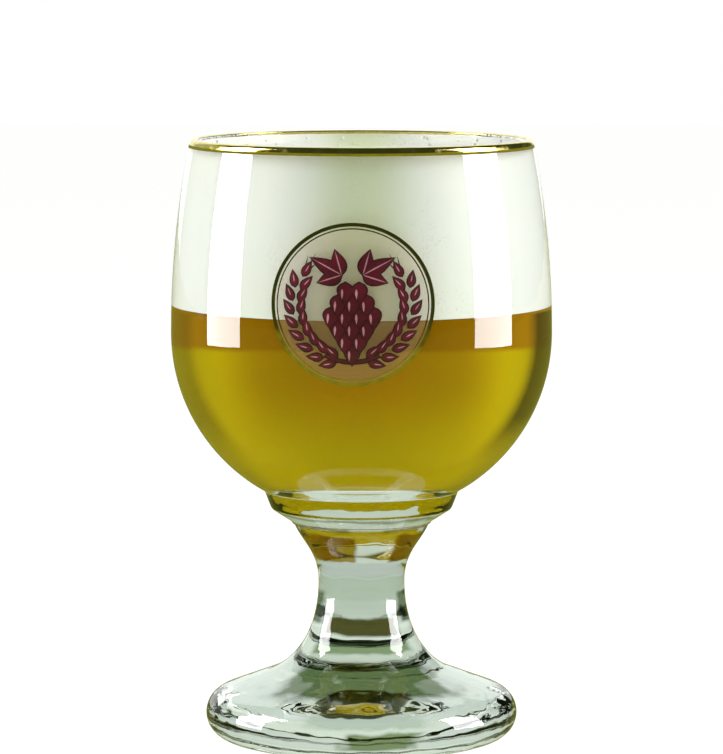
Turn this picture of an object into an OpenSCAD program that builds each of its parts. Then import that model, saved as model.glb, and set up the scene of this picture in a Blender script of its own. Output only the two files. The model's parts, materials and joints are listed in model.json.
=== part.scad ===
// Stemmed beer goblet, full, with a gilt rim and a printed emblem.
// Every piece of glass is a turned profile about Z. The foot stands on z = 0 and the
// emblem faces -Y. The most skilful part is the emblem: flat artwork that is carried
// onto the curve of the bowl in four thin printed layers.

/* [Foot] */
// Widest diameter of the foot
foot_d = 76.4; // [70:0.2:84]
// Height of the foot, up to where the stem starts
foot_h = 20; // [18:0.5:24]
// Radius of the foot's rounded edge
foot_edge_r = 6.1; // [5:0.1:7]
// Slope of the foot's top, in degrees
foot_slope = 21; // [18:1:25]
// Diameter where the slope starts to sweep up into the stem
foot_top_d = 45.4; // [42:0.2:54]
// How far the slope still pulls on the sweep
sweep_reach = 7.3; // [5:0.1:9]
// Width of the flat ring that the foot rests on
seat_w = 5.1; // [2:0.1:8]
// Height of the hollow under the foot
punt_h = 2.5; // [1:0.1:4]

/* [Stem] */
// Length of the stem, from foot to collar
stem_l = 33; // [28:0.5:40]
// Diameter of the stem at its waist
stem_d = 21.1; // [17:0.1:24]
// Height of the waist above the foot
waist_up = 18.4; // [15:0.1:21]
// How far the waist stays slim below its narrowest point
waist_reach = 11.6; // [9:0.1:14]
// How far the waist stays slim above its narrowest point
neck_reach = 7.5; // [4:0.1:9]
// Diameter of the stem's flared top
stem_top_d = 33.2; // [28:0.2:34]
// Lean of the flare where it meets the collar, in degrees from upright
neck_lean = 22; // [15:1:35]
// How far that lean reaches down the flare
flare_reach = 5.2; // [3:0.1:7]

/* [Collar] */
// Height of the collar
collar_h = 8; // [7:0.1:10]
// Ledge of the collar outside the stem's top
collar_ledge = 0.5; // [0.2:0.1:0.8]
// Height of the upright ledge
ledge_h = 0.4; // [0.2:0.1:0.8]
// Height of the collar's upright wall
collar_wall_h = 4.4; // [3:0.1:5]
// How far the wall leans in towards its foot
collar_lean = 1.7; // [0.8:0.1:2]
// Size of the rounded corner between wall and underside
collar_round = 1.3; // [0.8:0.1:1.9]

/* [Bowl] */
// Height of the bowl above the collar
bowl_h = 86; // [80:0.2:94]
// Widest diameter of the bowl
belly_d = 93; // [89:0.5:98]
// Height of the widest point above the collar
belly_up = 38.7; // [35:0.1:42]
// Outer diameter just under the lip
rim_d = 83.8; // [78:0.2:88]
// Diameter of the bowl's base, where it sits on the collar
base_d = 47.6; // [43:0.2:52]
// Thickness of the wall
wall = 2.4; // [1.8:0.1:3]
// Thickness of the floor under the beer
floor_t = 5; // [4:0.1:8]
// Radius between floor and wall on the inside
floor_round = 18; // [12:0.5:22]

/* [Gilt rim] */
// Height of the gold band below the lip's rounding, outside
band_h = 1; // [0.4:0.1:4]
// How far the gold goes round the lip, as a share of its rounding
band_wrap_share = 0.92; // [0.7:0.01:1]
// Thickness of the gold
gilt_t = 0.06; // [0.04:0.01:0.1]

/* [Drink] */
// Level of the beer above the collar
fill_up = 45.5; // [30:0.1:60]
// Depth of the foam's edge below the lip
head_gap = 5.4; // [5:0.1:20]
// Rise of the foam in the middle
foam_crown = 0.8; // [0.3:0.1:0.9]

/* [Emblem] */
// Outer diameter of the emblem
emblem_d = 38.4; // [32:0.2:40]
// Height of the emblem's centre above the collar
emblem_up = 49.5; // [44:0.1:56]
// Turn of the emblem about the glass, in degrees
emblem_turn = -2.7; // [-10:0.1:10]
// Width of the outer gold line
bold_line_w = 0.85; // [0.5:0.05:1.2]
// Gap between the two gold lines
line_gap = 0.4; // [0.2:0.05:0.8]
// Width of the inner gold line
fine_line_w = 0.3; // [0.2:0.05:0.5]
// Width of the dark outline round the red enamel
outline_w = 0.3; // [0.2:0.05:0.4]
// Thickness of each printed layer
print_t = 0.05; // [0.03:0.01:0.06]

/* [Hop and barley] */
// Length of a scale of the hop cone
scale_l = 5; // [4.4:0.1:5.4]
// Width of a scale
scale_w = 3.5; // [3:0.1:4]
// Distance between the rows of scales
scale_row = 2.9; // [2.6:0.1:3]
// Length of the hop leaf's middle lobe
leaf_l = 8.4; // [7:0.1:9]
// Width of a leaf lobe
leaf_w = 3.3; // [2.6:0.1:3.6]
// Length of a barley grain
grain_l = 3.9; // [3.2:0.1:4.2]
// Width of a grain
grain_w = 1.7; // [1.3:0.1:1.9]
// Length of the barley's longest awn
awn_l = 6.4; // [4:0.1:7]

/* [Hidden] */

// Counts of segments
round_n = 120;
arc_n = 20;
gentle_n = 10;
lip_n = 12;
petal_n = 7;

// Levels, stacked from the table up
z_collar = foot_h + stem_l;
z_bowl = z_collar + collar_h;
z_belly = z_bowl + belly_up;
z_lip = z_bowl + bowl_h;
z_floor = z_bowl + floor_t;
z_beer = z_bowl + fill_up;
z_foam = z_lip - head_gap;
z_emblem = z_bowl + emblem_up;

// Radii
foot_r = foot_d / 2;
seat_r = foot_r - foot_edge_r - seat_w;
stem_r = stem_d / 2;
stem_top_r = stem_top_d / 2;
belly_r = belly_d / 2;
rim_r = rim_d / 2;
base_r = base_d / 2;
lip_r = wall / 2;

// Points on an arc about c, from angle a0 to a1
function arc(c, r, a0, a1, n) =
    [for (i = [0:n]) let (a = a0 + (a1 - a0) * i / n) c + r * [cos(a), sin(a)]];

// A curve that leaves p0 towards p1 and reaches p3 from p2
function sweep(p0, p1, p2, p3, n) =
    [for (i = [0:n]) let (t = i / n, s = 1 - t)
        s * s * s * p0 + 3 * t * s * s * p1 + 3 * t * t * s * p2 + t * t * t * p3];

// A shallow dome of height h over radius r, from its middle to its edge
function dome(r, h, n) =
    let (dome_r = (r * r + h * h) / (2 * h))
    [for (i = [0:n]) let (x = r * i / n) [x, h - dome_r + sqrt(dome_r * dome_r - x * x)]];

// A list without its first point, and a list turned round
function rest_of(list) = [for (i = [1:len(list) - 1]) list[i]];
function turned(list) = [for (i = [len(list) - 1:-1:0]) list[i]];

// Foot and stem share one outline, so that the sweep runs on across their joint
slope_dir = [-cos(foot_slope), sin(foot_slope)];
edge_c = [foot_r - foot_edge_r, foot_edge_r];
edge_points = arc(edge_c, foot_edge_r, -90, 90 - foot_slope, arc_n);
edge_end = edge_points[arc_n];
slope_end = edge_end
    + (edge_end[0] - foot_top_d / 2) / cos(foot_slope) * slope_dir;
waist = [stem_r, foot_h + waist_up];
stem_top = [stem_top_r, z_collar];
neck_dir = [sin(neck_lean), cos(neck_lean)];
sweep_points = sweep(slope_end, slope_end + sweep_reach * slope_dir,
    waist - [0, waist_reach], waist, arc_n);
neck_points = sweep(waist, waist + [0, neck_reach],
    stem_top - flare_reach * neck_dir, stem_top, arc_n);
leg_points = concat(dome(seat_r, punt_h, arc_n), edge_points, sweep_points,
    rest_of(neck_points), [[0, z_collar]]);

// The collar's underside climbs from the ledge to a rounded corner under its wall
ledge_r = stem_top_r + collar_ledge;
collar_corner = [base_r - collar_lean, z_bowl - collar_wall_h];
ledge_top = [ledge_r, z_collar + ledge_h];
under_dir = (ledge_top - collar_corner) / norm(ledge_top - collar_corner);
wall_dir = ([base_r, z_bowl] - collar_corner) / norm([base_r, z_bowl] - collar_corner);
corner_points = sweep(collar_corner + collar_round * under_dir, collar_corner,
    collar_corner, collar_corner + collar_round * wall_dir, lip_n);
collar_points = concat([[0, z_collar], [ledge_r, z_collar], ledge_top],
    corner_points, [[base_r, z_bowl], [0, z_bowl]]);

// The bowl's outline is two arcs that meet upright at the belly
low_run = belly_r - base_r;
low_r = (low_run * low_run + belly_up * belly_up) / (2 * low_run);
low_c = [belly_r - low_r, z_belly];
high_run = belly_r - rim_r;
high_rise = z_lip - lip_r - z_belly;
high_r = (high_run * high_run + high_rise * high_rise) / (2 * high_run);
high_c = [belly_r - high_r, z_belly];
lip_a = asin(high_rise / (high_r - lip_r));
lip_c = high_c + (high_r - lip_r) * [cos(lip_a), sin(lip_a)];
outer_points = concat(arc(low_c, low_r, -asin(belly_up / low_r), 0, arc_n),
    rest_of(arc(high_c, high_r, 0, lip_a, gentle_n)));

// The inside follows at one wall's distance and rounds into the thick floor
inner_low_r = low_r - wall;
round_rise = z_belly - z_floor - floor_round;
round_c = [low_c[0] + sqrt(pow(inner_low_r - floor_round, 2) - round_rise * round_rise),
    z_floor + floor_round];
round_a = atan2(round_c[1] - z_belly, round_c[0] - low_c[0]);
inner_points = concat(arc(high_c, high_r - wall, lip_a, 0, gentle_n),
    rest_of(arc(low_c, inner_low_r, 0, round_a, arc_n)),
    rest_of(arc(round_c, floor_round, round_a, -90, arc_n)), [[0, z_floor]]);
cavity_points = concat(inner_points, [[0, inner_points[0][1]]]);

// Printed layers, counted outwards from the glass
ground_layer = 0;
line_layer = 1;
enamel_layer = 2;
highlight_layer = 3;

// Artwork: places on the emblem as shares of the field inside its gold lines
field_r = emblem_d / 2 - bold_line_w - line_gap - fine_line_w;
cone_rows = [2, 3, 4, 3, 2, 1];
cone_top_share = 0.3;
scale_pitch_share = 0.92;
scale_fan = 3.2;
leaf_place_shares = [0.14, 0.4];
leaf_turn = -62;
side_lobe_share = 0.72;
side_lobe_turn = 46;
ear_r_share = 0.76;
ear_start = -74;
ear_step = 13;
ear_pairs = 8;
grain_out_share = 0.42;
grain_lean = 26;
awn_turns = [-16, 0, 16];
side_awn_share = 0.8;
awn_w_share = 0.22;
stalk_w_share = 0.34;
stalk_start = -98;
petal_bulge = 0.72;
touch_l_share = 0.5;
touch_w_share = 0.16;
touch_side_share = 0.2;
touch_start_share = 0.3;
vein_w_share = 0.1;

// A pointed oval from the origin up along Y, grown all round by g
module petal(l, w, g = 0) {
    long = l + 2 * g;
    half = [for (i = [0:petal_n]) let (t = i / petal_n)
        [(w / 2 + g) * sin(180 * pow(t, petal_bulge)), long * t - g]];
    polygon(concat(half, [for (i = [petal_n - 1:-1:1]) [-half[i][0], half[i][1]]]));
}

module ring(r, w) {
    difference() {
        circle(r, $fn = round_n);
        circle(r - w, $fn = round_n);
    }
}

// Places its child at each scale of one row of the hop cone
module at_scales(row) {
    count = cone_rows[row];
    for (j = [0:count - 1]) {
        x = (j - (count - 1) / 2) * scale_w * scale_pitch_share;
        translate([x, cone_top_share * field_r - row * scale_row])
            rotate(180 + scale_fan * x / scale_w)
                children();
    }
}

// Places its child on both sides of the emblem
module both_sides() {
    children();
    mirror([1, 0]) children();
}

// Places its child at each grain of the right-hand barley ear
module at_grains() {
    for (k = [0:ear_pairs - 1], s = [-1, 1]) {
        a = ear_start + k * ear_step;
        out = ear_r_share * field_r + s * grain_out_share * grain_w;
        translate(out * [cos(a), sin(a)])
            rotate(a - s * grain_lean)
                children();
    }
    at_ear_tip() children();
}

module at_ear_tip() {
    a = ear_start + ear_pairs * ear_step;
    translate(ear_r_share * field_r * [cos(a), sin(a)]) rotate(a) children();
}

// Places its first child at the right-hand leaf's middle lobe, its second at the others
module at_lobes() {
    translate([leaf_place_shares[0], leaf_place_shares[1]] * field_r)
        rotate(leaf_turn) {
            children(0);
            for (s = [-1, 1]) rotate(s * side_lobe_turn) children(1);
        }
}

module leaf(g = 0) {
    at_lobes() {
        petal(leaf_l, leaf_w, g);
        petal(leaf_l * side_lobe_share, leaf_w, g);
    }
}

module awns() {
    at_ear_tip()
        for (a = awn_turns)
            rotate(a)
                petal(a == 0 ? awn_l : awn_l * side_awn_share, grain_w * awn_w_share);
}

module stalk(g = 0) {
    r = ear_r_share * field_r;
    w = grain_w * stalk_w_share / 2 + g;
    polygon(concat(arc([0, 0], r + w, stalk_start, ear_start + ear_step, arc_n),
        arc([0, 0], r - w, ear_start + ear_step, stalk_start, arc_n)));
}

// The dark artwork lies under the red and shows round it as an outline
module linework_art() {
    both_sides() {
        leaf(outline_w);
        at_grains() petal(grain_l, grain_w, outline_w);
        awns();
        stalk(outline_w);
    }
    for (row = [0:len(cone_rows) - 1])
        at_scales(row) petal(scale_l, scale_w, outline_w);
}

// Red shapes: each row of the hop cone tucks under the row above it
module enamel_art() {
    clear_of_cone() {
        both_sides() leaf();
        both_sides() {
            at_grains() petal(grain_l, grain_w);
            stalk();
        }
    }
    for (row = [0:len(cone_rows) - 1])
        difference() {
            at_scales(row) petal(scale_l, scale_w);
            if (row > 0) at_scales(row - 1) petal(scale_l, scale_w, outline_w);
        }
}

// Its children, cut clear of the hop cone and its outline
module clear_of_cone() {
    difference() {
        children();
        for (row = [0:len(cone_rows) - 1])
            at_scales(row) petal(scale_l, scale_w, outline_w);
    }
}

module highlight_art() {
    for (row = [0:len(cone_rows) - 1])
        at_scales(row)
            translate([scale_w * touch_side_share, scale_l * touch_start_share])
                petal(scale_l * touch_l_share, scale_w * touch_w_share);
    both_sides() {
        at_lobes() {
            petal(leaf_l, leaf_w * vein_w_share);
            petal(leaf_l * side_lobe_share, leaf_w * vein_w_share);
        }
        at_grains()
            translate([0, grain_l * touch_start_share])
                petal(grain_l * touch_l_share, grain_w * touch_w_share);
    }
}

// Wraps its flat artwork onto the bowl as one printed layer
module printed(layer) {
    near = [for (p = outer_points) if (abs(p[1] - z_emblem) < emblem_d) p];
    inside = [for (p = near) p + [layer * print_t, 0]];
    outside = [for (p = near) p + [(layer + 1) * print_t, 0]];
    rotate([0, 0, emblem_turn])
        intersection() {
            rotate_extrude($fn = round_n) polygon(concat(inside, turned(outside)));
            translate([0, 0, z_emblem])
                rotate([90, 0, 0]) linear_extrude(belly_d) children();
        }
}

module foot() {
    color([0.78, 0.86, 0.8])
        rotate_extrude($fn = round_n)
            intersection() {
                polygon(leg_points);
                square([foot_d, foot_h]);
            }
}

module stem() {
    color([0.74, 0.83, 0.8])
        rotate_extrude($fn = round_n)
            intersection() {
                polygon(leg_points);
                translate([0, foot_h]) square([foot_d, stem_l]);
            }
}

module collar() {
    color([0.7, 0.78, 0.66])
        rotate_extrude($fn = round_n) polygon(collar_points);
}

module bowl() {
    lip_points = arc(lip_c, lip_r, lip_a, lip_a + 180, lip_n);
    color([0.86, 0.92, 0.88, 0.4])
        rotate_extrude($fn = round_n)
            polygon(concat([[0, z_bowl]], outer_points, rest_of(lip_points),
                rest_of(inner_points)));
}

module gilt_rim() {
    band_a = lip_a - band_h / high_r * 180 / PI;
    wrap_a = lip_a + band_wrap_share * 180;
    inside = concat(arc(high_c, high_r, band_a, lip_a, 1),
        rest_of(arc(lip_c, lip_r, lip_a, wrap_a, lip_n)));
    outside = concat(arc(high_c, high_r + gilt_t, band_a, lip_a, 1),
        rest_of(arc(lip_c, lip_r + gilt_t, lip_a, wrap_a, lip_n)));
    color([0.72, 0.6, 0.24])
        rotate_extrude($fn = round_n) polygon(concat(inside, turned(outside)));
}

module emblem_ground() {
    color([0.84, 0.72, 0.6, 0.5])
        printed(ground_layer) circle(emblem_d / 2, $fn = round_n);
}

module emblem_gilding() {
    color([0.62, 0.5, 0.2])
        printed(line_layer) {
            ring(emblem_d / 2, bold_line_w);
            ring(field_r + fine_line_w, fine_line_w);
        }
}

module emblem_linework() {
    color([0.14, 0.03, 0.06]) printed(line_layer) linework_art();
}

module emblem_enamel() {
    color([0.42, 0.02, 0.13]) printed(enamel_layer) enamel_art();
}

module emblem_highlights() {
    color([0.86, 0.6, 0.64])
        printed(highlight_layer)
            intersection() {
                highlight_art();
                enamel_art();
            }
}

module beer() {
    color([0.68, 0.5, 0.02])
        rotate_extrude($fn = round_n)
            intersection() {
                polygon(cavity_points);
                square([belly_d, z_beer]);
            }
}

module foam_head() {
    top = [for (p = dome(belly_r, foam_crown, arc_n)) p + [0, z_foam]];
    color([0.93, 0.94, 0.9])
        rotate_extrude($fn = round_n)
            intersection() {
                polygon(cavity_points);
                polygon(concat([[0, z_beer]], top, [[belly_r, z_beer]]));
            }
}

foot();
stem();
collar();
bowl();
gilt_rim();
emblem_ground();
emblem_gilding();
emblem_linework();
emblem_enamel();
emblem_highlights();
beer();
foam_head();
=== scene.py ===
"""Looks of a full beer goblet with a gilt rim and a printed emblem.

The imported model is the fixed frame. Each class below makes one group of pieces from the
frame's own sizes, in metres with Z up, and dresses it in its finish.
"""

from __future__ import annotations

import json
import logging
import math
from dataclasses import dataclass, field
from enum import Enum, IntEnum
from typing import Callable, ClassVar, Iterable, Sequence

import bmesh
import bpy
import numpy as np
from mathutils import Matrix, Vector

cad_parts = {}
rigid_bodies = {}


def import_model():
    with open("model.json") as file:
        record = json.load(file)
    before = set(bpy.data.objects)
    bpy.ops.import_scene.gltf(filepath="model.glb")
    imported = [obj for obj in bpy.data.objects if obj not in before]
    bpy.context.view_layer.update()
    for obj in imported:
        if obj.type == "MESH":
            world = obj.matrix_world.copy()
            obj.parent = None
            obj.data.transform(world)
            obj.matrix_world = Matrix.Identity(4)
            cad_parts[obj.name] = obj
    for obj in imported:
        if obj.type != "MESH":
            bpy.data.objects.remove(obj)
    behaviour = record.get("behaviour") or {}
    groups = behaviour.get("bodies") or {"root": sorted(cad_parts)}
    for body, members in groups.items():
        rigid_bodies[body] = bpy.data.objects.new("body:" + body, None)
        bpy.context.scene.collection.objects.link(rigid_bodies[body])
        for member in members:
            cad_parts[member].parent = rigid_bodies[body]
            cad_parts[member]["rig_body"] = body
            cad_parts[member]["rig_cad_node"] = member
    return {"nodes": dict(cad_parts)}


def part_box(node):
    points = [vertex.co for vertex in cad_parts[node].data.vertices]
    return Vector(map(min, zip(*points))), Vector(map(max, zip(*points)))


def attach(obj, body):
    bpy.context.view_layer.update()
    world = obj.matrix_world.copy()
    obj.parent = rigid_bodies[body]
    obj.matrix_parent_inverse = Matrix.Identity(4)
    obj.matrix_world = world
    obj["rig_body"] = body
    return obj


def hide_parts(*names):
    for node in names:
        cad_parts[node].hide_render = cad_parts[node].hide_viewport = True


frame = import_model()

LOG = logging.getLogger("goblet")
MM = 0.001
BODY = "root"
SEED = 7
GLASS_IOR = 1.5
BEER_IOR = 1.34

Point = tuple[float, float]
Colour = tuple[float, float, float]


def srgb(red: int, green: int, blue: int) -> Colour:
    """The linear colour of an 8-bit screen colour.

    Args:
        red: Its red, from 0 to 255.
        green: Its green.
        blue: Its blue.

    Returns:
        Its linear red, green and blue, from 0 to 1.
    """
    return tuple(
        c / 12.92 if c <= 0.04045 else ((c + 0.055) / 1.055) ** 2.4
        for c in (red / 255, green / 255, blue / 255)
    )


def scaled(colour: Colour, *shares: float) -> Colour:
    """A colour times one share, or times a share each for red, green and blue."""
    return tuple(c * share for c, share in zip(colour, shares * (3 // len(shares))))


# Shader trees


class Ray(Enum):
    """Kinds of ray that a surface can tell apart, by Blender's names."""

    CAMERA = "Is Camera Ray"
    DIFFUSE = "Is Diffuse Ray"
    GLOSSY = "Is Glossy Ray"
    SHADOW = "Is Shadow Ray"
    TRANSMISSION = "Is Transmission Ray"


class Blend(Enum):
    """Ways of mixing two colours, by Blender's names."""

    MIX = "MIX"
    MULTIPLY = "MULTIPLY"


@dataclass(frozen=True)
class Link:
    """An output of a shader node. Arithmetic on it adds Math nodes.

    Args:
        tree: The tree that holds the node.
        socket: The output socket.
    """

    tree: "Tree"
    socket: bpy.types.NodeSocket

    def maths(self, operation: str, *terms: "Link | float") -> "Link":
        """A Math node's result on the given terms."""
        return self.tree.add("ShaderNodeMath", {"operation": operation}, dict(enumerate(terms)))

    def __add__(self, other: "Link | float") -> "Link":
        """This plus other."""
        return self.maths("ADD", self, other)

    def __radd__(self, other: float) -> "Link":
        """Other plus this."""
        return self.maths("ADD", other, self)

    def __sub__(self, other: "Link | float") -> "Link":
        """This minus other."""
        return self.maths("SUBTRACT", self, other)

    def __rsub__(self, other: float) -> "Link":
        """Other minus this."""
        return self.maths("SUBTRACT", other, self)

    def __mul__(self, other: "Link | float") -> "Link":
        """This times other."""
        return self.maths("MULTIPLY", self, other)

    def __rmul__(self, other: float) -> "Link":
        """Other times this."""
        return self.maths("MULTIPLY", other, self)

    def __truediv__(self, other: "Link | float") -> "Link":
        """This divided by other."""
        return self.maths("DIVIDE", self, other)

    def root(self) -> "Link":
        """Its square root."""
        return self.maths("SQRT", self)

    def size(self) -> "Link":
        """It without its sign."""
        return self.maths("ABSOLUTE", self)

    def larger(self, other: "Link | float") -> "Link":
        """The larger of this and other."""
        return self.maths("MAXIMUM", self, other)

    def step(self, low: float, high: float) -> "Link":
        """A smooth rise, or a fall where low is above high.

        Args:
            low: Value up to which it is 0.
            high: Value from which it is 1.

        Returns:
            The rise or fall.
        """
        values = {"Value": self, "From Min": min(low, high), "From Max": max(low, high)}
        settings = {"interpolation_type": "SMOOTHSTEP"}
        rise = self.tree.add("ShaderNodeMapRange", settings, values)
        return 1 - rise if low > high else rise

    def window(self, low: float, high: float, soft: float) -> "Link":
        """1 between low and high and 0 outside, over a soft border."""
        return self.step(low - soft, low + soft) * self.step(high + soft, high - soft)

    def output(self, name: str) -> "Link":
        """Another output of the same node."""
        return Link(self.tree, self.socket.node.outputs[name])


class Tree:
    """The shader tree of a material or a world."""

    def __init__(self, owner: bpy.types.Material | bpy.types.World) -> None:
        """Empties the owner's tree.

        Args:
            owner: The material or world to build.
        """
        owner.use_nodes = True
        self.nodes = owner.node_tree.nodes
        self.links = owner.node_tree.links
        self.nodes.clear()

    def add(
        self,
        kind: str,
        settings: dict | None = None,
        sockets: dict | None = None,
        out: str | int = 0,
    ) -> Link | None:
        """Adds a node.

        Args:
            kind: The node's type.
            settings: The node's own settings, set first.
            sockets: Values or links of its inputs, by name or number.
            out: The output that the result stands for.

        Returns:
            That output, or None for a node without one.
        """
        node = self.nodes.new(kind)
        for name, value in (settings or {}).items():
            setattr(node, name, value)
        for name, value in (sockets or {}).items():
            target = node.inputs[name]
            if isinstance(value, Link):
                self.links.new(value.socket, target)
            elif isinstance(value, tuple) and len(value) == 3 and target.type == "RGBA":
                target.default_value = (*value, 1.0)
            else:
                target.default_value = value
        return Link(self, node.outputs[out]) if node.outputs else None

    def place(self) -> Link:
        """Object coordinates."""
        return self.add("ShaderNodeTexCoord", out="Object")

    def split(self, vector: Link) -> tuple[Link, Link, Link]:
        """A vector's three parts."""
        x = self.add("ShaderNodeSeparateXYZ", {}, {0: vector})
        return x, x.output("Y"), x.output("Z")

    def blotches(self, scale: float, detail: float = 2.0, rough: float = 0.5) -> Link:
        """Noise over the object, around one half.

        Args:
            scale: How many blotches fit in a metre.
            detail: How many finer layers it has.
            rough: How strong those are.

        Returns:
            The noise.
        """
        sockets = {"Vector": self.place(), "Scale": scale, "Detail": detail, "Roughness": rough}
        return self.add("ShaderNodeTexNoise", {}, sockets)

    def sway(self, scale: float, size: float) -> Link:
        """Noise around 0 that moves a border to and fro over a size."""
        return (self.blotches(scale) - 0.5) * size

    def sideways(
        self, wave: float = 0.0, scale: float = 110.0, core: float = 0.1 * MM
    ) -> Link:
        """How far round to the right a place lies: -1 at the left, 0 in front, 1 at the right.

        Args:
            wave: How much a noise shifts it.
            scale: How many of that noise's blotches fit in a metre.
            core: Distance from the axis within which it fades to 0.

        Returns:
            That share.
        """
        x, y, _ = self.split(self.place())
        share = x / (x * x + y * y).root().larger(core)
        return share + self.sway(scale, wave) if wave else share

    def mix(
        self,
        share: Link | float,
        first: Link | Colour,
        second: Link | Colour,
        way: Blend = Blend.MIX,
    ) -> Link:
        """A mix of two colours.

        Args:
            share: How far to go from the first to the mix with the second.
            first: The colour at share 0.
            second: The colour at share 1, or what multiplies the first there.
            way: How they mix.

        Returns:
            The mixed colour.
        """
        settings = {"data_type": "RGBA", "blend_type": way.value}
        sockets = {"Factor": share, 6: as_rgba(first), 7: as_rgba(second)}
        return self.add("ShaderNodeMix", settings, sockets, out=2)

    def shade(self, share: Link | float, first: Link, second: Link) -> Link:
        """A mix of two shaders: the first at share 0, the second at 1."""
        return self.add("ShaderNodeMixShader", {}, {0: share, 1: first, 2: second})

    def principled(self, **sockets: Link | float | Colour) -> Link:
        """A Principled shader; a socket's name has _ for its spaces."""
        named = {name.replace("_", " "): value for name, value in sockets.items()}
        return self.add("ShaderNodeBsdfPrincipled", {}, named)

    def glow(self, colour: Link | Colour = (1.0, 1.0, 1.0), strength: float = 1.0) -> Link:
        """A surface that sends out light."""
        return self.add("ShaderNodeEmission", {}, {"Color": colour, "Strength": strength})

    def sky(self, colour: Link | Colour, strength: float = 1.0) -> Link:
        """Light that comes from all round."""
        return self.add("ShaderNodeBackground", {}, {"Color": colour, "Strength": strength})

    def open_air(self, colour: Colour = (1.0, 1.0, 1.0)) -> Link:
        """A surface that lets light straight through."""
        return self.add("ShaderNodeBsdfTransparent", {}, {"Color": colour})

    def bump(self, height: Link, depth: float, strength: float = 1.0) -> Link:
        """A normal that height tilts, where a height of 1 stands depth metres proud."""
        sockets = {"Height": height, "Distance": depth, "Strength": strength}
        return self.add("ShaderNodeBump", {}, sockets)

    def ray(self, kind: Ray) -> Link:
        """1 for one kind of ray and 0 for the rest."""
        return self.add("ShaderNodeLightPath", out=kind.value)

    def finish(self, surface: Link, kind: str = "ShaderNodeOutputMaterial") -> None:
        """Shows a shader as the surface."""
        self.add(kind, {}, {"Surface": surface})


def as_rgba(value: Link | Colour) -> Link | tuple[float, ...]:
    """A colour with its alpha, or the link as it is."""
    return value if isinstance(value, Link) else (*value, 1.0)


# Finishes


@dataclass(frozen=True)
class Finish:
    """What a surface is made of.

    Args:
        name: The material's name.
    """

    name: str

    def material(self) -> bpy.types.Material:
        """Builds the material.

        Returns:
            The material, whose tree ends in the surface.
        """
        made = bpy.data.materials.new(self.name)
        tree = Tree(made)
        tree.finish(self.surface(tree))
        return made

    def surface(self, tree: Tree) -> Link:
        """The surface's shader; each finish has its own."""
        raise NotImplementedError(self.name)


@dataclass(frozen=True)
class PaintedShadeZone:
    """A band of painted shade on the glass: a darker tint of what passes, standing in for the dark
    room and, in amber, for the beer seen through the glass.

    Args:
        low: Height of its lower end, in millimetres.
        high: Height of its upper end, in millimetres.
        colour: Colour of what passes, which paints the shade.
        left: How far round to the left it starts, from -1 to 1.
        right: How far round to the right it ends.
        outside: Whether it is the rest of the ring instead.
        blur: How much softer than usual its borders are.
    """

    low: float
    high: float
    colour: Colour
    left: float = -1.5
    right: float = 1.5
    outside: bool = False
    blur: float = 1.0

    def share(self, height: Link, round_to: Link) -> Link:
        """How much of the zone's colour a place has.

        Args:
            height: The place's height, in metres.
            round_to: How far round to the right it lies, from -1 to 1.

        Returns:
            A share from 0 to 1.
        """
        across = round_to.window(self.left, self.right, 0.06 * self.blur)
        level = height.window(self.low * MM, self.high * MM, 0.5 * MM * self.blur)
        return level * (1 - across if self.outside else across)


@dataclass(frozen=True)
class PaintedDarkEdge:
    """A painted dark line where the wall before a drink is seen edge on: painted shade in place of
    the dark room, stronger at the right than the left.

    Args:
        top: Height of the top of the drink, in metres.
        foot: Height up to which it doesn't show.
        full: Height from which it shows in full.
        facing: Where it starts and is full, as the wall turns away from the eye.
        side: Where it starts and is full, as the wall runs from the front to a side.
        left: How strong it is at the left against the right.
        colour: Colour of what passes there, which paints the shade.
        waves: How many waves of its borders fit in a metre.
    """

    top: float
    foot: float = 68 * MM
    full: float = 82 * MM
    facing: tuple[float, float] = (0.203, 0.243)
    side: tuple[float, float] = (0.4, 0.75)
    left: float = 0.6
    colour: Colour = (0.03, 0.026, 0.01)
    waves: float = 60.0

    def share(self, tree: Tree) -> Link:
        """How much of its colour a place has.

        Args:
            tree: The material's tree.

        Returns:
            A share from 0 to 1.
        """
        height = tree.split(tree.place())[2] + tree.sway(self.waves, MM)
        round_to = tree.sideways(wave=0.1, scale=self.waves)
        facing = tree.add("ShaderNodeLayerWeight", {}, {"Blend": 0.5}, out="Facing")
        near, far = self.side
        sides = round_to.step(near, far) + self.left * round_to.step(-near, -far)
        drink = height.step(self.foot, self.full) * height.step(self.top, self.top - MM)
        return facing.step(*self.facing) * sides * drink


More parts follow.
